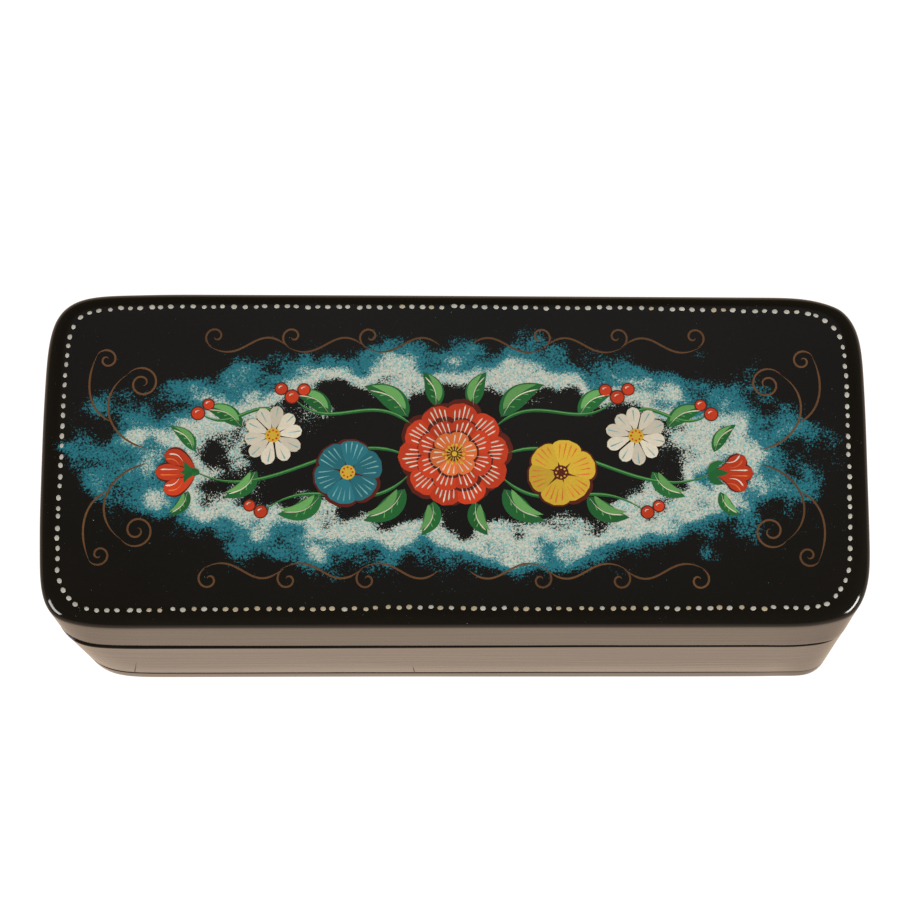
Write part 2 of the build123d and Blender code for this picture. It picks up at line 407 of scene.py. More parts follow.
def drawn_steel(colours):
    """Drawn steel wire: the die leaves fine lines along it, 0.08 mm apart, which spread its highlight."""
    material, tree = new_material("drawn_steel_wire")
    lines = grain(tree, (20.0, 0.08, 0.08), detail=2.0)
    greys = {0: lines, 6: shade(colours.steel, 0.75), 7: shade(colours.steel)}
    colour = add_node(tree, "ShaderNodeMix", greys, data_type="RGBA").outputs[2]
    roughness = add_node(tree, "ShaderNodeMapRange", {0: lines, 1: 0.3, 2: 0.7, 3: 0.25, 4: 0.45}).outputs[0]
    inputs = {"Base Color": colour, "Metallic": 1.0, "Roughness": roughness}
    shader = add_node(tree, "ShaderNodeBsdfPrincipled", inputs)
    add_node(tree, "ShaderNodeOutputMaterial", {0: shader.outputs[0]})
    return material


def tempera(pigment, paint):
    """Egg tempera under varnish: opaque matt colour with a thin gloss, whose tone differs from stroke to
    stroke and which brush hairs 0.5 mm apart leave a little uneven."""
    material, tree = new_material(f"varnished_{pigment}_tempera")
    tone = add_node(tree, "ShaderNodeAttribute", attribute_name="tone").outputs["Fac"]
    hairs = grain(tree, (0.5, 0.5, 0.5), detail=2.0)
    load = add_node(tree, "ShaderNodeMapRange", {0: tone, 3: 0.82, 4: 1.14}).outputs[0]
    cover = add_node(tree, "ShaderNodeMapRange", {0: hairs, 1: 0.25, 2: 0.75, 3: 0.93, 4: 1.05}).outputs[0]
    body = add_node(tree, "ShaderNodeMath", {0: load, 1: cover}, operation="MULTIPLY").outputs[0]
    colour = add_node(tree, "ShaderNodeVectorMath", {0: paint, "Scale": body}, operation="SCALE").outputs[0]
    relief = {"Strength": 1.0, "Distance": 0.01 * MM, "Height": hairs}
    normal = add_node(tree, "ShaderNodeBump", relief).outputs[0]
    inputs = {"Base Color": colour, "Roughness": 0.3, "IOR": 1.45, "Normal": normal}
    shader = add_node(tree, "ShaderNodeBsdfPrincipled", inputs)
    add_node(tree, "ShaderNodeOutputMaterial", {0: shader.outputs[0]})
    return material


# Shells


def quarter_angles():
    """Angles from 0 to a right angle, for a rounded edge."""
    return [math.pi / 2 * i / ARC_STEPS for i in range(ARC_STEPS + 1)]


# Where the hand-sanded outside lies further in than its drawn outline, or further out: the place and the
# reach of each hollow or swelling, and its depth, in millimetres
HAND_SANDING = (
    (-76.5, 30.5, 5.0, -0.35),
    (75.0, 32.0, 5.0, 0.1),
    (-65.0, 34.0, 7.0, 0.2),
    (-80.0, -7.0, 14.0, 0.24),
    (-80.0, -22.0, 8.0, 0.37),
    (-75.0, -31.0, 6.0, -0.2),
    (80.0, -5.0, 13.0, 0.17),
    (80.0, -21.0, 8.0, 0.05),
    (79.5, -27.5, 4.5, 0.18),
    (-79.5, -27.5, 4.0, 0.06),
)

# The same at the height of the joint only, and at the foot only
JOINT_SANDING = (
    (-74.2, -32.8, 5.2, -0.3),
    (-79.3, -28.0, 3.5, 0.14),
    (67.5, -33.9, 4.5, -0.12),
    (74.5, -33.0, 4.2, -0.5),
    (79.3, -28.0, 3.5, 0.12),
)
FOOT_SANDING = ((-77.0, -29.7, 5.5, 1.17), (74.2, -33.4, 4.8, -0.95), (79.3, -28.0, 3.5, 0.3))

# Where the base's rim stands out further from the lid's, or less far, and where the two rims are less
# rounded, so that the joint's line fades: the last number there is the share of the rounding that is missing
RIM_SANDING = ((-75.0, -32.0, 3.5, 0.13), (76.0, -32.4, 3.2, -0.13))
JOINT_TIGHT = ((76.5, -32.0, 4.0, 0.85),)


def worn(p, places):
    """How deep a point of the outline lies in places with a reach and a depth, added together."""
    return sum(
        depth * math.exp(-((p.x - x) ** 2 + (p.y - y) ** 2) / reach ** 2)
        for x, y, reach, depth in places
    )


class Outline:
    """The box's plan as a closed ring of points with outward normals, for rings further in."""

    def __init__(self, corner_length, corner_depth, exponent, bow, turn=0.0, sanding=()):
        self.turn = turn
        self.sanding = sanding
        quarter = []
        for i in range(CORNER_SAMPLES + 1):
            a = math.pi / 2 * i / CORNER_SAMPLES
            x = HALF_LENGTH - corner_length * (1 - math.cos(a) ** (2 / exponent))
            y = HALF_DEPTH - corner_depth * (1 - math.sin(a) ** (2 / exponent))
            quarter.append((x * (1 - bow / HALF_LENGTH * (y / HALF_DEPTH) ** 2), y))
        # The right end's own bow needs points too, from the middle of the end to the corner
        end_top = HALF_DEPTH - corner_depth
        for i in range(CORNER_SAMPLES):
            y = end_top * (1 - (i + 1) / CORNER_SAMPLES)
            quarter.insert(0, (HALF_LENGTH * (1 - bow / HALF_LENGTH * (y / HALF_DEPTH) ** 2), y))
        loop = quarter + [(-x, y) for x, y in reversed(quarter)]
        loop += [(-x, -y) for x, y in quarter] + [(x, -y) for x, y in reversed(quarter)]
        self.points = self.resample([Vector(p) for p in loop])
        self.normals = []
        for i in range(RING_POINTS):
            run = self.points[(i + 1) % RING_POINTS] - self.points[i - 1]
            self.normals.append(Vector((run.y, -run.x)).normalized())

    @staticmethod
    def resample(loop):
        """Points at even distances along a closed loop."""
        lengths = [0.0]
        for a, b in zip(loop, loop[1:]):
            lengths.append(lengths[-1] + (b - a).length)
        ring, at = [], 0
        for i in range(RING_POINTS):
            goal = lengths[-1] * i / RING_POINTS
            while lengths[at + 1] < goal:
                at += 1
            share = (goal - lengths[at]) / max(lengths[at + 1] - lengths[at], 1e-9)
            ring.append(loop[at].lerp(loop[at + 1], share))
        return ring

    def ring(self, inset, height, sink=0.0):
        """A ring this far inside the outline. Inset may depend on the outline's point and height on the
        ring's own. Sink lowers the surface by up to that much, in slow waves."""
        made = []
        for p, n in zip(self.points, self.normals):
            d = inset(p) if callable(inset) else inset
            d += self.turn * p.x / HALF_LENGTH * max(0.0, -n.y)
            d += worn(p, self.sanding)
            q = p - n * d
            z = height(q) if callable(height) else height
            if sink:
                wave = noise.noise(Vector((q.x / WAVE_ALONG, q.y / WAVE_ALONG, z / WAVE_UP)))
                q -= n * sink * (0.5 + 0.5 * wave)
            made.append(Vector((q.x, q.y, z)))
        return made


def outlines(sizes):
    """The outside's outline, with its long soft corners, and the one that the inside follows."""
    corner = (sizes.corner_length, sizes.corner_depth, OUTSIDE_CORNER)
    outside = Outline(*corner, sizes.end_bow, sizes.front_turn, HAND_SANDING)
    inside = Outline(sizes.inner_corner, sizes.inner_corner, INSIDE_CORNER, sizes.end_bow)
    return outside, inside


def cap(ring, height):
    """Rings that close one over: each point moves to the middle line of the box."""
    spine = HALF_LENGTH - HALF_DEPTH
    rings = []
    for step in range(1, CAP_STEPS + 1):
        row = []
        for p in ring:
            middle = Vector((max(-spine, min(spine, p.x)), 0.0, 0.0))
            q = p.lerp(middle, step / CAP_STEPS)
            q.z = height(q) if callable(height) else height
            row.append(q)
        rings.append(row)
    return rings


def skin(name, rings, red_levels, materials):
    """Joins the rings in order into a closed mesh. The faces above the listed rings are red."""
    made = bmesh.new()
    rows = [[made.verts.new(p * MM) for p in ring] for ring in rings]
    for level, (low, high) in enumerate(zip(rows, rows[1:])):
        for i in range(RING_POINTS):
            j = (i + 1) % RING_POINTS
            face = made.faces.new((low[i], low[j], high[j], high[i]))
            face.material_index = 1 if level in red_levels else 0
    bmesh.ops.remove_doubles(made, verts=made.verts, dist=SAME_POINT * MM)
    bmesh.ops.recalc_face_normals(made, faces=made.faces)
    return add_piece(name, made, materials)


def add_piece(name, made, materials):
    """Turns a finished bmesh into an object with these materials."""
    mesh = bpy.data.meshes.new(name)
    made.to_mesh(mesh)
    made.free()
    for material in materials:
        mesh.materials.append(material)
    piece = bpy.data.objects.new(name, mesh)
    bpy.context.scene.collection.objects.link(piece)
    return piece


def smooth(piece, angle=32.0):
    """Smooth shading with sharp edges where faces meet at more than this angle."""
    piece.data.shade_smooth()
    piece.data.set_sharp_from_angle(angle=math.radians(angle))


def prism(name, section, half_length):
    """A cutter with this outline in Y and Z, along X."""
    made = bmesh.new()
    ends = []
    for x in (-half_length, half_length):
        ends.append([made.verts.new(Vector((x, y, z)) * MM) for y, z in section])
    made.faces.new(ends[0])
    made.faces.new(list(reversed(ends[1])))
    for i in range(len(section)):
        j = (i + 1) % len(section)
        made.faces.new((ends[0][j], ends[0][i], ends[1][i], ends[1][j]))
    bmesh.ops.recalc_face_normals(made, faces=made.faces)
    return add_piece(name, made, ())


def cut(piece, cutter):
    """Cuts one mesh out of another and removes the cutter."""
    modifier = piece.modifiers.new("cut", "BOOLEAN")
    modifier.operation = "DIFFERENCE"
    modifier.solver = "EXACT"
    modifier.object = cutter
    graph = bpy.context.evaluated_depsgraph_get()
    old, used = piece.data, cutter.data
    result = bpy.data.meshes.new_from_object(piece.evaluated_get(graph))
    piece.modifiers.remove(modifier)
    piece.data = result
    bpy.data.objects.remove(cutter)
    bpy.data.meshes.remove(old)
    bpy.data.meshes.remove(used)


def make_room_for_hinge(piece, side):
    """Cuts the sloping back edge, the slot for the hinge strip and the wire's groove."""
    y, z = HINGE_AXIS.y, HINGE_AXIS.z
    reach = 2 * WALL
    over = z - side * CUT_MARGIN
    slope = [(y, z), (y, over), (y + reach, over), (y + reach, z + side * reach * BEVEL_SLOPE)]
    cut(piece, prism("bevel", slope, HALF_LENGTH + CUT_MARGIN))
    far = z + side * STRIP_DEPTH
    slot = [(y - reach, over), (y + reach, over), (y + reach, far), (y - reach, far)]
    cut(piece, prism("slot", slot, STRIP_HIGH.x))
    circle = [2 * math.pi * i / GROOVE_STEPS for i in range(GROOVE_STEPS)]
    groove = [(y + GROOVE_RADIUS * math.cos(a), z + GROOVE_RADIUS * math.sin(a)) for a in circle]
    cut(piece, prism("groove", groove, HALF_LENGTH + CUT_MARGIN))


def lacquers(colours):
    """The two shared lacquers, made once."""
    black = bpy.data.materials.get("polished_black_lacquer") or black_lacquer(colours)
    red = bpy.data.materials.get("brushed_cinnabar_lacquer") or red_lacquer(colours)
    return black, red


def dress(piece, body, slot, *nodes):
    """Puts the piece on the body that it rides on and hides the imported pieces that it stands for; slot, its
    finish's source, is not used.
    """
    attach(piece, body)
    if nodes:
        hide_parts(*nodes)


def ramp(value):
    """A value held between 0 and 1."""
    return max(0.0, min(1.0, value))


def side_share(p, side=-1):
    """1 along the straight front, or the back with side 1, down to 0 half way round the corners."""
    share = ramp((side * p.y / HALF_DEPTH - 0.9) / 0.09)
    return share * share * (3 - 2 * share)


def rim_ledge(sizes, p):
    """How far the base's rim stands out from the lid at a point of the outline, so that the joint is a dark
    line along the front that grows wider towards the left."""
    left = max(0.0, 0.5 - p.x / HALF_LENGTH / 2) ** 2
    return (sizes.rim_ledge + sizes.rim_ledge_left * left) * side_share(p) + worn(p, RIM_SANDING)


def rim_rounding(sizes, p):
    """Rounding of the base's rim, which is larger where it stands out further."""
    return max(0.03, (0.12 + 1.1 * rim_ledge(sizes, p)) * (1 - worn(p, JOINT_TIGHT)))


def joint_swell(sizes, p):
    """How far the front swells out at the joint, more so in its left half."""
    return sizes.seam_swell + sizes.seam_swell_left * ramp(0.45 - 1.5 * p.x / HALF_LENGTH)


def plate_ledge(sizes, p):
    """How far the bottom board stands out from the wall, less far towards the right."""
    along = p.x / HALF_LENGTH
    return sizes.plate_ledge * (1 - 0.25 * ramp(2.5 * along - 0.25) - 0.35 * ramp(5 * along - 3.5))


def base_corners(p, z):
    """How far in the base's corners are sanded at a height, from the foot to the joint."""
    return worn(p, FOOT_SANDING) * (1 - z / SEAM) + worn(p, JOINT_SANDING) * z / SEAM


class LACQUERBOX_OT_bottom_board(Operator):
    """Pressed bottom board, with its rounded foot and the fine rounding above it"""

    bl_idname = "lacquer_box.bottom_board"
    bl_label = "Bottom Board"

    def execute(self, context):
        sizes, colours = settings(context)
        outside, _ = outlines(sizes)
        foot, sink = sizes.foot_rounding, sizes.unevenness

        def edge(p):
            """The rounding under the joint with the wall is finer towards both ends."""
            along = p.x / HALF_LENGTH
            return sizes.plate_rounding * (1 - 0.45 * ramp(1.6 * along) - 0.6 * ramp(-3 * along - 1.7))

        def lean(p, z):
            """How far in the board's side lies, less far at its foot."""
            out = sizes.plate_lean + sizes.plate_lean_right * ramp(2.5 * p.x / HALF_LENGTH + 0.25)
            return (sizes.base_lean - out * (1 - z / PLATE_TOP)) * side_share(p) + base_corners(p, z)

        wall = []
        for a in reversed(quarter_angles()):
            z = foot * (1 - math.sin(a))
            wall.append(outside.ring(lambda p: foot * (1 - math.cos(a)) + lean(p, z), z, sink))
        for a in quarter_angles():
            inset, drop = 1 - math.cos(a), 1 - math.sin(a)
            wall.append(outside.ring(
                lambda p: edge(p) * inset + lean(p, PLATE_TOP), lambda q: PLATE_TOP - edge(q) * drop, sink))
        under = cap(wall[0], 0.0)[::-1]
        over = cap(wall[-1], PLATE_TOP)
        rings = under + wall + over
        first_red = len(under) + len(wall) - 1
        piece = skin("bottom_board", rings, range(first_red, len(rings)), lacquers(colours))
        smooth(piece)
        dress(piece, "base", "black_lacquer", "bottom_plate")
        return {"FINISHED"}


class LACQUERBOX_OT_base_shell(Operator):
    """Wound wall of the base, whose rim is sanded rounder at the left end"""

    bl_idname = "lacquer_box.base_shell"
    bl_label = "Base Shell"

    def execute(self, context):
        sizes, colours = settings(context)
        outside, inside = outlines(sizes)
        sink = sizes.unevenness

        def lean(p, z):
            """How far in the wall lies, which swells out from its foot to the joint."""
            up = (z - PLATE_TOP) / (SEAM - PLATE_TOP)
            inset = (sizes.base_lean + plate_ledge(sizes, p)) * (1 - up) - joint_swell(sizes, p) * up
            return inset * side_share(p) + base_corners(p, z)

        foot = inside.ring(WALL, PLATE_TOP)
        rings = [foot]
        for level in range(WALL_LEVELS + 1):
            height = PLATE_TOP + (SEAM - RIM_ZONE - PLATE_TOP) * level / WALL_LEVELS
            rings.append(outside.ring(lambda p: lean(p, height), height, sink))
        for a in quarter_angles():
            inset, drop = 1 - math.cos(a), 1 - math.sin(a)
            ring = outside.ring(lambda p: lean(p, SEAM) + rim_rounding(sizes, p) * inset, 0.0, sink)
            for q, p in zip(ring, outside.points):
                q.z = SEAM - rim_rounding(sizes, p) * drop
            rings.append(ring)
        rim = len(rings)
        rings += [inside.ring(WALL, SEAM), inside.ring(WALL, (SEAM + PLATE_TOP) / 2), foot]
        piece = skin("base_shell", rings, range(rim, len(rings)), lacquers(colours))
        make_room_for_hinge(piece, -1)
        smooth(piece)
        dress(piece, "base", "black_lacquer", "base_wall")
        return {"FINISHED"}


def lid_surface(sizes):
    """Height of the lid's crowned top over a point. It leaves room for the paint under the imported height."""
    top = TOP - PAINT_LAYERS * sizes.coat
    return lambda q: top - sizes.crown * ((q.x / HALF_LENGTH) ** 2 + (q.y / HALF_DEPTH) ** 2) / 2


class LACQUERBOX_OT_lid_shell(Operator):
    """Lid as one lacquered shell: wall, full round edge, crowned top and red hollow"""

    bl_idname = "lacquer_box.lid_shell"
    bl_label = "Lid Shell"

    def execute(self, context):
        sizes, colours = settings(context)
        outside, inside = outlines(sizes)
        top = lid_surface(sizes)
        sink, edge, cove = sizes.unevenness, sizes.edge_radius, sizes.lid_cove
        low_edge = sizes.lid_rim_rounding
        wall = WALL - sizes.lip_clearance
        rim = SEAM + sizes.lid_gap

        def low_inset(p):
            """How far in the lid's rim lies."""
            return rim_ledge(sizes, p) - joint_swell(sizes, p) * side_share(p) + worn(p, JOINT_SANDING)

        def lean(p, up=1.0):
            """The wall's inset under its rounded edge. The back leans in only above the hinge strip."""
            back = sizes.back_lean + sizes.front_turn * p.x / HALF_LENGTH
            return sizes.wall_lean * side_share(p) + back * side_share(p, 1) * up ** 4

        hollow = []
        for a in quarter_angles():
            d = wall + cove * (1 - math.sin(a))
            hollow.append(inside.ring(d, LID_INSIDE_TOP - cove * (1 - math.cos(a))))
        hollow.append(inside.ring(wall, rim))
        ceiling = cap(hollow[0], LID_INSIDE_TOP)[::-1]
        rings = ceiling + hollow
        red_levels = range(len(rings) - 1)
        for a in reversed(quarter_angles()):
            inset, rise = low_edge * (1 - math.cos(a)), low_edge * (1 - math.sin(a))
            rings.append(outside.ring(
                lambda p: low_inset(p) + inset * (1 - worn(p, JOINT_TIGHT)),
                lambda q: rim + rise * (1 - worn(q, JOINT_TIGHT)), sink))
        low, high = rim + low_edge, top(Vector((0.0, HALF_DEPTH, 0.0))) - sizes.edge_drop
        for level in range(1, WALL_LEVELS + 1):
            up = level / WALL_LEVELS
            height = low + (high - low) * up
            rings.append(outside.ring(lambda p: low_inset(p) * (1 - up) + lean(p, up) * up, height, sink))
        for a in quarter_angles()[1:]:
            inset, drop = 1 - math.cos(a), sizes.edge_drop * (1 - math.sin(a))
            rings.append(outside.ring(
                lambda p: lean(p) + (edge - lean(p)) * inset, lambda q: top(q) - drop, sink))
        for inset in (1.3 * edge, 1.8 * edge):
            rings.append(outside.ring(inset, top))
        rings += cap(rings[-1], top)
        piece = skin("lid_shell", rings, red_levels, (lid_lacquer(colours), lacquers(colours)[1]))
        make_room_for_hinge(piece, 1)
        smooth(piece)
        dress(piece, "lid", "black_lacquer", "lid_wall", "lid_top")
        return {"FINISHED"}


class LACQUERBOX_OT_hinge(Operator):
    """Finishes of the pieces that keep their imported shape: lip, hinge strips and wire"""

    bl_idname = "lacquer_box.hinge"
    bl_label = "Lip and Hinge"

    def execute(self, context):
        colours = context.scene.lacquer_box_colours
        board, red = hinge_board(colours), lacquers(colours)[1]
        finishes = {
            "locating_lip": red,
            "base_hinge_strip": board,
            "lid_hinge_strip": board,
            "hinge_pin": drawn_steel(colours),
        }
        for node, material in finishes.items():
            piece = frame["nodes"][node]
            piece.data.materials.clear()
            piece.data.materials.append(material)
            smooth(piece)
        return {"FINISHED"}


# Painting: each pigment is one piece of many brush strokes and dabs, which lies on the lid's top


class Coat:
    """Brush strokes and dabs of one pigment in one mesh. A higher layer lies over the lower ones."""

    def __init__(self, context, pigment, layer):
        sizes, colours = settings(context)
        self.surface = lid_surface(sizes)
        self.pigment = pigment
        self.paint = getattr(colours, pigment)
        self.coat = sizes.coat
        self.lift = layer * self.coat
        self.mesh = bmesh.new()
        self.tone = self.mesh.verts.layers.float.new("tone")
        self.hand = random.Random(f"{pigment} {layer}")

    def vertex(self, x, y, height, tone):
        """A point of paint at a height over the lid's surface."""
        point = Vector((x, y, 0.0))
        point.z = self.surface(point) + height
        made = self.mesh.verts.new(point * MM)
        made[self.tone] = tone
        return made

    def bridge(self, rows, closed=False):
        """Joins rows of points with faces, all round where the rows are closed."""
        for near, far in zip(rows, rows[1:]):
            for i in range(len(near) if closed else len(near) - 1):
                j = (i + 1) % len(near)
                self.mesh.faces.new((near[i], near[j], far[j], far[i]))

    def stroke(self, path, half_width):
        """A stroke along a path in millimetres; half_width is a function of the share of the way."""
        tone = self.hand.random()
        edge, near, middle = (self.lift + share * self.coat for share in (0.5, 0.9, 1.0))
        section = ((-1, EDGE_SINK), (-1, edge), (-0.5, near), (0, middle))
        section += ((0.5, near), (1, edge), (1, EDGE_SINK))
        rows = []
        for i, p in enumerate(path):
            run = path[min(i + 1, len(path) - 1)] - path[max(i - 1, 0)]
            side = Vector((-run.y, run.x)).normalized() * max(half_width(i / (len(path) - 1)), 0.012)
            rows.append([self.vertex(p.x + side.x * s, p.y + side.y * s, h, tone) for s, h in section])
        self.bridge(rows)

    def dab(self, centre, radius, stretch=1.0, turn=0.0, relief=None, tone=None):
        """A drop of paint, round or a little stretched."""
        tone = self.hand.random() if tone is None else tone
        relief = relief or self.coat
        count = 20 if radius > 0.35 else 12
        profile = [(1.0, EDGE_SINK), (1.0, self.lift + 0.25 * relief), (0.86, self.lift + 0.62 * relief)]
        profile += [(0.6, self.lift + 0.88 * relief), (0.25, self.lift + relief)]
        rows = []
        for share, height in profile:
            row = []
            for i in range(count):
                a = 2 * math.pi * i / count
                u, v = radius * share * stretch * math.cos(a), radius * share / stretch * math.sin(a)
                x, y = turned(u, v, centre, turn)
                row.append(self.vertex(x, y, height, tone))
            rows.append(row)
        self.bridge(rows, closed=True)
        self.mesh.faces.new(rows[-1])

    def dry(self, name):
        """Makes the piece, which rides on the lid."""
        for face in self.mesh.faces:
            face.normal_update()
            if face.normal.z < 0:
                face.normal_flip()
        finish = bpy.data.materials.get(f"varnished_{self.pigment}_tempera")
        piece = add_piece(name, self.mesh, (finish or tempera(self.pigment, self.paint),))
        smooth(piece, 40.0)
        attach(piece, "lid")


def petal(t):
    """Narrow at its foot, widest near its round tip."""
    return (t / 0.66) ** 0.8 if t < 0.66 else math.sqrt(max(0.0, 1 - ((t - 0.66) / 0.34) ** 2))


def leaf(t):
    """Pointed at both ends, widest before its middle."""
    return math.sin(math.pi * t ** 0.8) ** 0.9 if 0 < t < 1 else 0.0


def line(t):
    """A thin line that the brush lands on and leaves softly."""
    return min(1.0, 0.25 + t / 0.15, 0.15 + (1 - t) / 0.3)


def comma(t):
    """Pressed at its head and drawn out to a tail."""
    return min(1.0, (t / 0.12) ** 0.5) * (1 - t) ** 0.75


def wide(shape, half_width):
    """The half width of a stroke of this shape."""
    return lambda t: half_width * shape(t)


def turned(u, v, centre, angle):
    """The point u along a direction from a centre, and v to its left."""
    c, s = math.cos(angle), math.sin(angle)
    return Vector((centre[0] + u * c - v * s, centre[1] + u * s + v * c))


def ray(centre, angle, start, reach, bend=0.0, side=0.0, steps=14):
    """A path outwards from a centre, bent to one side and shifted sideways."""
    path = []
    for i in range(steps + 1):
        t = i / steps
        v = bend * math.sin(math.pi * t) + (side(t) if callable(side) else side)
        path.append(turned(start + (reach - start) * t, v, centre, angle))
    return path


def curve(a, b, c, d, steps=28):
    """A smooth path through a cubic Bezier curve's four points."""
    a, b, c, d = (Vector(p) for p in (a, b, c, d))
    path = []
    for i in range(steps + 1):
        t = i / steps
        s = 1 - t
        path.append(a * s ** 3 + b * (3 * s * s * t) + c * (3 * s * t * t) + d * t ** 3)
    return path


def curl(centre, radius, start, turns):
    """A spiral path that winds inwards."""
    path = []
    for i in range(45):
        t = i / 44
        r = radius * (1 - 0.86 * t)
        path.append(turned(r, 0.0, centre, start + 2 * math.pi * turns * t))
    return path


def mirrored(path):
    """The same path in the left half."""
    return [Vector((-p.x, p.y)) for p in path]


def petals(coat, centre, count, start, reach, half_width, turn):
    """A ring of petals, each a little off its even place."""
    for i in range(count):
        angle = turn + 2 * math.pi * i / count + coat.hand.uniform(-0.05, 0.05)
        tip = reach * coat.hand.uniform(0.95, 1.04)
        coat.stroke(ray(centre, angle, start, tip), wide(petal, half_width))


def ribs(coat, centre, count, start, reach, half_width, turn, per_petal, thick):
    """Light strokes that fan out in each petal towards its tip, the way that they follow a petal's form."""
    for i in range(count):
        angle = turn + 2 * math.pi * i / count
        for k in range(per_petal):
            share = 0.68 * (2 * k / (per_petal - 1) - 1) if per_petal > 1 else 0.0
            spread = share * half_width
            far = reach * (0.96 - 0.16 * abs(share)) * coat.hand.uniform(0.94, 1.02)
            near = far - (reach - start) * coat.hand.uniform(0.38, 0.6)
            path = ray(centre, angle, near, far, side=lambda t: spread * (0.55 + 0.3 * t), steps=8)
            coat.stroke(path[::-1], wide(comma, thick))


def scrolls(over):
    """The scrolls of the right half, behind the middle line or, with over -1, before it, in millimetres."""
    for x in (10.0, 25.0, 40.0):
        yield curve((x - 7, 22.6 * over), (x - 1, 27.6 * over), (x + 1, 17.8 * over), (x + 8, 22.4 * over))
        yield curl((x + 6.6, 24.3 * over), 2.2, -1.2 * over, 1.1 * over)
    yield curve((59, 1.5 * over), (67, 3 * over), (70, 12 * over), (63.5, 16.5 * over))
    yield curve((66.5, 7 * over), (71, 9 * over), (72, 15 * over), (69.5, 20.5 * over))
    yield curl((60.6, 14.7 * over), 3.4, 0.6 * over, 1.6 * over)
    yield curl((67.6, 19.5 * over), 2.2, 0.5 * over, 1.3 * over)


class LACQUERBOX_OT_scrolls(Operator):
    """Fine old-gold scrolls behind the flowers and at the ends"""

    bl_idname = "lacquer_box.scrolls"
    bl_label = "Scrolls"

    def execute(self, context):
        gold = Coat(context, "gold", 0)
        thin = wide(line, 0.19)
        for over in (1, -1):
            for path in scrolls(over):
                gold.stroke(path, thin)
                gold.stroke(mirrored(path), thin)
        gold.dry("gold_scrolls")
        return {"FINISHED"}


# Leaves of the right half, in millimetres: where each starts, its angle in degrees, its length, its half
# width and its bend
LEAVES = (
    (3.5, 10.0, 66, 7.5, 1.8, 0.8),
    (9.0, 8.0, 38, 10.5, 2.2, 1.3),
    (9.5, -6.5, -40, 10.0, 2.1, -1.2),
    (4.0, -9.0, -68, 7.0, 1.7, -0.8),
    (24.0, 8.4, 30, 8.5, 1.8, 1.1),
    (25.5, -8.0, -24, 9.0, 1.9, -1.2),
    (38.0, -3.0, -38, 8.0, 1.6, -1.0),
    (41.0, 6.0, 24, 8.5, 1.7, 1.0),
    (50.0, 1.0, 48, 7.0, 1.3, 0.8),
    (51.0, -7.0, -52, 6.0, 1.2, -0.7),
)

# Stems of the right half, as the four points of a curve
STEMS = (
    ((9, 0), (22, 7), (36, -11), (50, -3)),
    ((8, 6), (16, 14), (24, 4), (31, 11.5)),
    ((34, 8), (38, 13), (43, 4), (49, 8.5)),
    ((9, -4), (18, -13), (26, -3), (36, -10.5)),
)


class LACQUERBOX_OT_leaves(Operator):
    """Green stems and leaves with a light side and a thin light vein"""

    bl_idname = "lacquer_box.leaves"
    bl_label = "Leaves"

    def execute(self, context):
        green = Coat(context, "green", 1)
        light = Coat(context, "light_green", 2)
        white = Coat(context, "white", 3)
        for points in STEMS:
            stem = curve(*points)
            for path in (stem, mirrored(stem)):
                green.stroke(path, wide(line, 0.34))
                light.stroke([p + Vector((0.0, 0.12)) for p in path], wide(line, 0.1))
        for side in (1, -1):
            for x, y, degrees, long, half_width, bend in LEAVES:
                angle = math.radians(degrees + green.hand.uniform(-4, 4))
                blade = ray((x, y), angle, 0.0, long, bend=bend)
                lit = ray((x, y), angle, 0.12 * long, 0.9 * long, bend=bend, side=0.42 * half_width)
                vein = ray((x, y), angle, 0.05 * long, 0.86 * long, bend=bend)
                paths = [(green, blade, wide(leaf, half_width)), (light, lit, wide(leaf, 0.42 * half_width))]
                paths.append((white, vein[::-1], wide(comma, 0.13)))
                for k in range(3):
                    start = vein[3 + 3 * k]
                    rib = ray(start, angle - 0.75, 0.0, 0.62 * half_width, steps=6)
                    paths.append((light, rib[::-1], wide(comma, 0.13)))
                for coat, path, shape in paths:
                    coat.stroke(path if side > 0 else mirrored(path), shape)
        green.dry("green_leaves")
        light.dry("light_green_strokes")
        white.dry("white_veins")
        return {"FINISHED"}


# Rings of petals of the large flower: their number, where they start and end, their half width, their turn
# and their pigment
PEONY = (
    (10, 3.0, 10.6, 3.1, 0.1, "vermilion"),
    (8, 1.6, 7.4, 2.5, 0.45, "vermilion"),
    (6, 0.6, 4.6, 1.9, 0.2, "orange"),
)


class LACQUERBOX_OT_peony(Operator):
    """Large red flower in the middle: three rings of petals with light strokes, and yellow stamens"""

    bl_idname = "lacquer_box.peony"
    bl_label = "Peony"

    def execute(self, context):
        centre = (0.0, 0.5)
        for number, (count, start, reach, half_width, turn, pigment) in enumerate(PEONY):
            dark = Coat(context, "maroon", 2 + 2 * number)
            paint = Coat(context, pigment, 3 + 2 * number)
            light = Coat(context, "white", 4 + 2 * number)
            petals(dark, centre, count, start, reach + 0.4, half_width + 0.45, turn)
            petals(paint, centre, count, start, reach, half_width, turn)
            ribs(light, centre, count, start, reach, half_width, turn, 5 - number, 0.17)
            dark.dry(f"peony_ground_{number + 1}")
            paint.dry(f"peony_petals_{number + 1}")
            light.dry(f"peony_strokes_{number + 1}")
        heart, stamens = Coat(context, "maroon", 8), Coat(context, "yellow", 9)
        heart.dab(centre, 1.5)
        for i in range(14):
            a = 2 * math.pi * i / 14
            reach = stamens.hand.uniform(1.7, 2.2)
            stamens.stroke(ray(centre, a, 0.7, reach, steps=6), wide(line, 0.1))
            stamens.dab(turned(reach, 0.0, centre, a), 0.27)
        stamens.dab(centre, 0.5)
        heart.dry("peony_heart")
        stamens.dry("peony_stamens")
        return {"FINISHED"}


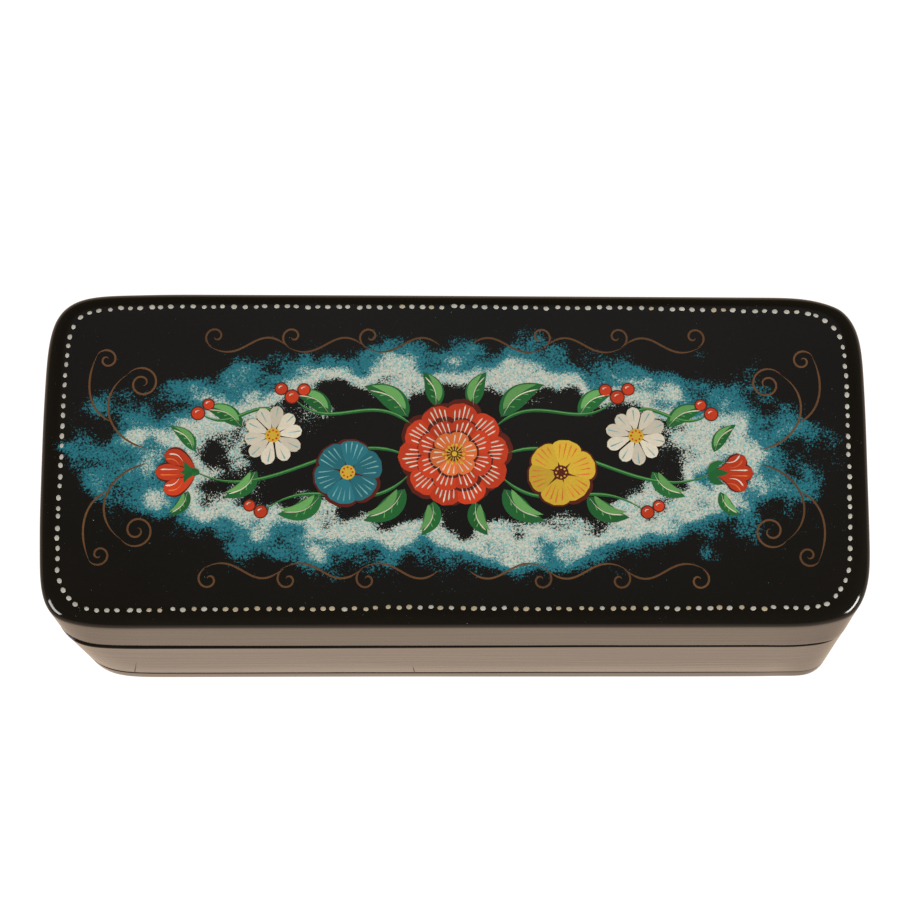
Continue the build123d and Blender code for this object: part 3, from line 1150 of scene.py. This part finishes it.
# Smaller flowers: centre, petals, radius, half width, the pigments of the petals, the light strokes, the
# heart and its beads, and how many light strokes a petal has
FLOWERS = (
    ((-20.5, -3.2), 6, 6.6, 2.9, ("teal", "light_teal", "yellow", "vermilion"), 4),
    ((20.5, -3.2), 6, 6.6, 2.9, ("yellow", "orange", "maroon", "yellow"), 4),
    ((35.0, 4.2), 10, 5.8, 1.35, ("white", "light_teal", "yellow", "vermilion"), 1),
    ((-35.0, 4.2), 10, 5.8, 1.35, ("white", "light_teal", "yellow", "vermilion"), 1),
)


class LACQUERBOX_OT_flowers(Operator):
    """Blue, yellow and white flowers beside the large one"""

    bl_idname = "lacquer_box.flowers"
    bl_label = "Flowers"

    def execute(self, context):
        for number, (centre, count, reach, half_width, pigments, per_petal) in enumerate(FLOWERS):
            name = f"flower_{number + 1}"
            turn = 0.3 + number
            paint, strokes, heart, beads = (Coat(context, p, 4 + k) for k, p in enumerate(pigments))
            # White petals lie on the black lacquer without a dark ground
            if paint.pigment != "white":
                dark = Coat(context, "maroon", 3)
                petals(dark, centre, count, 0.5, reach + 0.3, half_width + 0.35, turn)
                dark.dry(f"{name}_ground")
            petals(paint, centre, count, 0.9, reach, half_width, turn)
            ribs(strokes, centre, count, 1.0, reach, half_width, turn, per_petal, 0.15)
            paint.dry(f"{name}_petals")
            strokes.dry(f"{name}_strokes")
            heart.dab(centre, 1.45)
            for i in range(8):
                beads.dab(turned(0.95, 0.0, centre, 2 * math.pi * i / 8), 0.2)
            heart.dry(f"{name}_heart")
            beads.dry(f"{name}_beads")
        return {"FINISHED"}


# Berries of the right half: centre and radius, in millimetres
BERRIES = (
    (31.5, 12.0, 1.25),
    (29.2, 13.4, 1.1),
    (33.6, 13.6, 1.1),
    (49.6, 8.6, 1.2),
    (47.6, 10.4, 1.0),
    (37.0, -11.0, 1.15),
    (39.2, -9.8, 1.0),
)

# The light stroke on a berry, as the four points of a curve from its centre
SHINE = ((-0.5, 0.1), (-0.45, 0.5), (0.0, 0.6), (0.3, 0.55))


class LACQUERBOX_OT_buds(Operator):
    """Red tulip buds at the ends and sprays of berries"""

    bl_idname = "lacquer_box.buds"
    bl_label = "Buds and Berries"

    def execute(self, context):
        dark, red = Coat(context, "maroon", 3), Coat(context, "vermilion", 4)
        light, warm, sepals = (Coat(context, pigment, 5) for pigment in ("white", "orange", "green"))
        for side in (1, -1):
            foot = (49.5 * side, -3.2)
            out = 0.0 if side > 0 else math.pi
            for spread in (-0.5, 0.5, 0.0):
                petal_path = ray(foot, out + spread, 0.2, 8.0 - abs(spread) * 1.6, bend=-spread * 1.6 * side)
                dark.stroke(petal_path, wide(petal, 2.0))
                red.stroke(petal_path, wide(petal, 1.65))
                for k in (-1, 1):
                    reach, bend = 7.0 - abs(spread), -spread * 1.2 * side
                    rib = ray(foot, out + spread, 3.4, reach, bend=bend, side=0.55 * k, steps=8)
                    (light if k * side > 0 else warm).stroke(rib[::-1], wide(comma, 0.17))
            for spread in (-0.75, 0.75, 0.0):
                sepals.stroke(ray(foot, out + spread, -0.6, 3.2, bend=spread * side), wide(leaf, 0.75))
            for x, y, radius in BERRIES:
                dark.dab((x * side, y), radius + 0.22)
                red.dab((x * side, y), radius)
                shine = curve(*((x * side + u, y + v) for u, v in SHINE), steps=8)
                light.stroke(shine, wide(comma, 0.16))
        dark.dry("bud_ground")
        red.dry("buds_and_berries")
        light.dry("bud_white_strokes")
        warm.dry("bud_orange_strokes")
        sepals.dry("bud_sepals")
        return {"FINISHED"}


# Where the painter's hand strays from the line of dots: place, reach and how far in, in millimetres
DOTS_STRAY = (
    (2.0, 33.7, 10.0, -0.25),
    (30.5, 33.7, 8.0, -0.2),
    (60.0, 33.5, 12.0, 0.35),
    (75.2, 29.2, 5.5, 0.75),
    (-66.0, 33.6, 10.0, 0.15),
    (-74.9, 30.3, 4.8, 0.35),
    (-80.0, -18.0, 9.0, -0.3),
    (-76.8, -30.7, 4.0, 0.5),
    (-68.5, -33.9, 6.5, -0.35),
    (-58.0, -34.0, 10.0, -0.15),
    (-7.5, -34.0, 6.0, 0.28),
    (15.0, -34.0, 5.0, -0.18),
    (71.6, -33.0, 4.5, -0.6),
    (76.0, -30.7, 7.0, 0.7),
)


def dot_line(sizes, p):
    """How far inside the outline the dots run. They are a little further in at the ends."""
    return sizes.dot_inset + 0.28 * (abs(p.x) / HALF_LENGTH) ** 8 + worn(p, DOTS_STRAY)


def out_of_square(p):
    """Where a point of the dots' line comes to lie, as the hand draws the line a little out of square."""
    return Vector((p.x + 0.1 + 0.0075 * p.y, 1.003 * p.y - 0.00012 * p.x * max(0.0, p.y) + 0.23))


def places_along(ring, pitch, hand):
    """Places along a closed ring, about a pitch apart and each a little off, with the ring's direction."""
    along = [0.0]
    for a, b in zip(ring, ring[1:] + ring[:1]):
        along.append(along[-1] + (b - a).length)
    count = round(along[-1] / pitch)
    step = along[-1] / count
    at = 0
    for i in range(count):
        goal = min(along[-1] - 1e-6, max(0.0, (i + hand.uniform(-0.12, 0.12)) * step))
        at = next(k for k in range(max(at - 2, 0), len(ring)) if along[k + 1] > goal)
        a, b = ring[at], ring[(at + 1) % len(ring)]
        place = a.lerp(b, (goal - along[at]) / (along[at + 1] - along[at]))
        yield place, math.atan2(b.y - a.y, b.x - a.x)


class LACQUERBOX_OT_dot_border(Operator):
    """Border of cream dots, set by hand a little unevenly"""

    bl_idname = "lacquer_box.dot_border"
    bl_label = "Dot Border"

    def execute(self, context):
        sizes, _ = settings(context)
        outside, _ = outlines(sizes)
        ring = [out_of_square(p) for p in outside.ring(lambda p: dot_line(sizes, p), 0.0)]
        cream, straw = Coat(context, "cream", 0), Coat(context, "straw", 0)
        hand = cream.hand
        for place, heading in places_along(ring, sizes.dot_pitch, hand):
            centre = place + Vector((hand.gauss(0.0, 0.05), hand.gauss(0.0, 0.08)))
            radius = sizes.dot_width / 2 * hand.uniform(0.86, 1.08)
            relief = sizes.dot_relief * hand.uniform(0.8, 1.1)
            turn = heading + hand.uniform(-0.3, 0.3)
            # The dots' tone is darker along the front; at the right end it is painted lighter, as painted
            # light from the stronger right soft box
            front = max(0.0, -centre.y / HALF_DEPTH) ** 6
            right = max(0.0, centre.x / HALF_LENGTH) ** 6
            tone = 0.4 - 0.35 * front + 0.5 * right + hand.uniform(-0.25, 0.25)
            middle = max(0.0, 1 - (centre.x / HALF_LENGTH / 0.76) ** 8)
            straw_share = (0.1 + 0.85 * front ** 0.3) * middle
            coat = straw if hand.random() < straw_share else cream
            coat.dab(centre, radius, hand.uniform(1.06, 1.2), turn, relief, tone)
        cream.dry("dot_border")
        straw.dry("dot_border_straw")
        return {"FINISHED"}


# Stage

# The camera: where it looks on the box and from how far, in millimetres, its angles in radians, its lens in
# millimetres and its shift as shares of the picture's width
CAMERA_TARGET = Vector((6.2, 2.91, 17.0))
CAMERA_DISTANCE = 513.8
CAMERA_AZIMUTH = -0.0115
CAMERA_ELEVATION = 1.3055
CAMERA_ROLL = 0.0128
CAMERA_LENS = 100.06
CAMERA_SHIFT = (-0.0401, 0.0408)

# The soft boxes: name, azimuth in degrees, height in metres and power in watts, then what both share
SOFT_BOXES = (("soft_box_left", -62.0, 0.42, 20.0), ("soft_box_right", 61.0, 0.28, 26.0))
SOFT_BOX_WIDTH = 0.85
SOFT_BOX_DISTANCE = 1.4
SOFT_BOX_ELEVATION = 16.0
FLOOR_RADIUS = 2.5


def direction(azimuth, elevation):
    """The direction out from the box, with azimuth 0 to the front."""
    flat = math.cos(elevation)
    return Vector((math.sin(azimuth) * flat, -math.cos(azimuth) * flat, math.sin(elevation)))


def camera_axes():
    """Right, up and back of the camera, from its azimuth, its elevation and its roll."""
    a, r = CAMERA_AZIMUTH, CAMERA_ROLL
    back = direction(a, CAMERA_ELEVATION)
    level = Vector((math.cos(a), math.sin(a), 0.0))
    up = back.cross(level)
    return level * math.cos(r) + up * math.sin(r), up * math.cos(r) - level * math.sin(r), back


def glowing_cut_out_floor(colours):
    """Black sheet that glows in place of lamp-lit cream paper. The view of it is cut out to pure white, as in
    a catalogue picture, while the lacquer still mirrors its warm glow, which drifts a little over some 0.2 m.
    The glow is painted light: lighter right before the straight front, darker beyond the box's ends as
    painted shade, and falling off with the distance."""
    material, tree = new_material("matt_cream_paper")
    drift = grain(tree, (200.0, 200.0, 200.0), detail=1.0)
    place = add_node(tree, "ShaderNodeTexCoord").outputs["Object"]
    along, across, _ = add_node(tree, "ShaderNodeSeparateXYZ", {0: place}).outputs
    along = add_node(tree, "ShaderNodeMath", {0: along}, operation="ABSOLUTE").outputs[0]
    across = add_node(tree, "ShaderNodeMath", {0: across}, operation="ABSOLUTE").outputs[0]
    far = add_node(tree, "ShaderNodeVectorMath", {0: place}, operation="LENGTH").outputs[1]
    end, side = HALF_LENGTH * MM, HALF_DEPTH * MM
    # Painted light: the glow is raised right before the middle of the front
    front = {0: along, 1: end - 0.014, 2: end - 0.004, 3: 1.25, 4: 0.97}
    strip = add_node(tree, "ShaderNodeMapRange", front).outputs[0]
    # Factors of the glow: a slow drift, a rise away from the front, the painted light before the front,
    # painted shade beyond the ends and a falloff with the distance
    parts = (
        {0: drift, 1: 0.3, 2: 0.7, 3: 0.86, 4: 0.92},
        {0: across, 1: side + 0.00225, 2: side + 0.01425, 3: 0.96, 4: 1.05},
        {0: across, 1: side + 0.00085, 2: side + 0.00165, 3: strip, 4: 1.0},
        {0: along, 1: end - 0.014, 2: end, 3: 1.0, 4: 0.88},
        {0: far, 1: 0.15, 2: 0.9, 3: 1.0, 4: 0.6},
    )
    painted_glow_and_shade = 1.0
    for span in parts:
        part = add_node(tree, "ShaderNodeMapRange", span).outputs[0]
        painted_glow_and_shade = add_node(tree, "ShaderNodeMath", {0: painted_glow_and_shade, 1: part}, operation="MULTIPLY").outputs[0]
    seen = add_node(tree, "ShaderNodeLightPath").outputs["Is Camera Ray"]
    strength = {2: painted_glow_and_shade, 3: 1.1, 0: seen}
    glow = add_node(tree, "ShaderNodeMix", strength, data_type="FLOAT").outputs[0]
    tones = {0: seen, 6: shade(colours.floor), 7: (1.0, 1.0, 1.0, 1.0)}
    tone = add_node(tree, "ShaderNodeMix", tones, data_type="RGBA").outputs[2]
    inputs = {"Base Color": (0.0, 0.0, 0.0, 1.0), "Roughness": 1.0, "Specular IOR Level": 0.0}
    inputs |= {"Emission Color": tone, "Emission Strength": glow}
    shader = add_node(tree, "ShaderNodeBsdfPrincipled", inputs)
    add_node(tree, "ShaderNodeOutputMaterial", {0: shader.outputs[0]})
    return material


def add_soft_box(scene, name, azimuth, height, power):
    """A warm white soft box, low beside the box, whose mirror image is the highlight of a lid's corner."""
    light = bpy.data.lights.new(name, "AREA")
    light.shape = "RECTANGLE"
    light.size = SOFT_BOX_WIDTH
    light.size_y = height
    light.energy = power
    light.color = (1.0, 0.98, 0.95)
    lamp = bpy.data.objects.new(name, light)
    out = direction(math.radians(azimuth), math.radians(SOFT_BOX_ELEVATION))
    lamp.location = out * SOFT_BOX_DISTANCE
    lamp.rotation_euler = out.to_track_quat("Z", "Y").to_euler()
    scene.collection.objects.link(lamp)


def dim_room():
    """A dim warm room with a paler ceiling, cut out to pure white like the floor."""
    world = bpy.data.worlds.new("dim_room")
    world.use_nodes = True
    tree = world.node_tree
    tree.nodes.clear()
    place = add_node(tree, "ShaderNodeTexCoord").outputs["Generated"]
    overhead = {0: place, 1: (0.0, 0.42, 0.907)}
    towards = add_node(tree, "ShaderNodeVectorMath", overhead, operation="DOT_PRODUCT").outputs[1]
    ceiling = add_node(tree, "ShaderNodeMapRange", {0: towards, 1: 0.955, 2: 0.999}).outputs[0]
    tones = {0: ceiling, 6: (0.24, 0.19, 0.12, 1.0), 7: (0.5, 0.5, 0.5, 1.0)}
    room = add_node(tree, "ShaderNodeMix", tones, data_type="RGBA").outputs[2]
    seen = add_node(tree, "ShaderNodeLightPath").outputs["Is Camera Ray"]
    cut_out = {0: seen, 6: room, 7: (1.0, 1.0, 1.0, 1.0)}
    room = add_node(tree, "ShaderNodeMix", cut_out, data_type="RGBA").outputs[2]
    sky = add_node(tree, "ShaderNodeBackground", {0: room, 1: 1.0})
    add_node(tree, "ShaderNodeOutputWorld", {0: sky.outputs[0]})
    return world


def add_camera(scene):
    """The camera with a long lens and a small shift, high over the front."""
    lens = bpy.data.cameras.new("camera")
    lens.sensor_width = 36.0
    lens.lens = CAMERA_LENS
    lens.shift_x, lens.shift_y = CAMERA_SHIFT
    lens.clip_start = 0.01
    lens.clip_end = 10.0
    camera = bpy.data.objects.new("camera", lens)
    right, up, back = camera_axes()
    turn = Matrix((right, up, back)).transposed().to_4x4()
    camera.matrix_world = Matrix.Translation((CAMERA_TARGET + back * CAMERA_DISTANCE) * MM) @ turn
    scene.collection.objects.link(camera)
    scene.camera = camera


class LACQUERBOX_OT_stage(Operator):
    """Glowing cut-out floor, two soft boxes, a dim room and the camera"""

    bl_idname = "lacquer_box.stage"
    bl_label = "Stage"

    def execute(self, context):
        scene = context.scene
        scene.view_settings.view_transform = "Standard"
        scene.view_settings.look = "None"
        sheet = bmesh.new()
        bmesh.ops.create_circle(sheet, cap_ends=True, segments=96, radius=FLOOR_RADIUS)
        floor = add_piece("floor", sheet, (glowing_cut_out_floor(scene.lacquer_box_colours),))
        floor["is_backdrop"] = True
        for box in SOFT_BOXES:
            add_soft_box(scene, *box)
        scene.world = dim_room()
        add_camera(scene)
        return {"FINISHED"}


class LACQUERBOX_PT_sidebar(Panel):
    """Sizes, colours and operators of the lacquer box"""

    bl_idname = "LACQUERBOX_PT_sidebar"
    bl_label = "Lacquer Box"
    bl_space_type = "VIEW_3D"
    bl_region_type = "UI"
    bl_category = "Lacquer Box"

    def draw(self, context):
        layout = self.layout
        layout.use_property_split = True
        for group in (context.scene.lacquer_box_sizes, context.scene.lacquer_box_colours):
            column = layout.column()
            for name in group.__annotations__:
                column.prop(group, name)
        column = layout.column()
        for operator in OPERATORS:
            column.operator(operator.bl_idname)


OPERATORS = (
    LACQUERBOX_OT_bottom_board,
    LACQUERBOX_OT_base_shell,
    LACQUERBOX_OT_lid_shell,
    LACQUERBOX_OT_hinge,
    LACQUERBOX_OT_scrolls,
    LACQUERBOX_OT_leaves,
    LACQUERBOX_OT_peony,
    LACQUERBOX_OT_flowers,
    LACQUERBOX_OT_buds,
    LACQUERBOX_OT_dot_border,
    LACQUERBOX_OT_stage,
)
CLASSES = (LacquerBoxSizes, LacquerBoxColours, *OPERATORS, LACQUERBOX_PT_sidebar)


def register():
    for part in CLASSES:
        bpy.utils.register_class(part)
    bpy.types.Scene.lacquer_box_sizes = PointerProperty(type=LacquerBoxSizes)
    bpy.types.Scene.lacquer_box_colours = PointerProperty(type=LacquerBoxColours)


def unregister():
    del bpy.types.Scene.lacquer_box_colours
    del bpy.types.Scene.lacquer_box_sizes
    for part in reversed(CLASSES):
        bpy.utils.unregister_class(part)


def main():
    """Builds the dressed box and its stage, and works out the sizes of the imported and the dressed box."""
    register()
    bpy.ops.lacquer_box.bottom_board()
    bpy.ops.lacquer_box.base_shell()
    bpy.ops.lacquer_box.lid_shell()
    bpy.ops.lacquer_box.hinge()
    bpy.ops.lacquer_box.scrolls()
    bpy.ops.lacquer_box.leaves()
    bpy.ops.lacquer_box.peony()
    bpy.ops.lacquer_box.flowers()
    bpy.ops.lacquer_box.buds()
    bpy.ops.lacquer_box.dot_border()
    bpy.ops.lacquer_box.stage()
    boxes = {"cad": CAD_BOX, "visual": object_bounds()}
    boxes = {name: [list(corner) for corner in box] for name, box in boxes.items()}


if __name__ == "__main__":
    main()
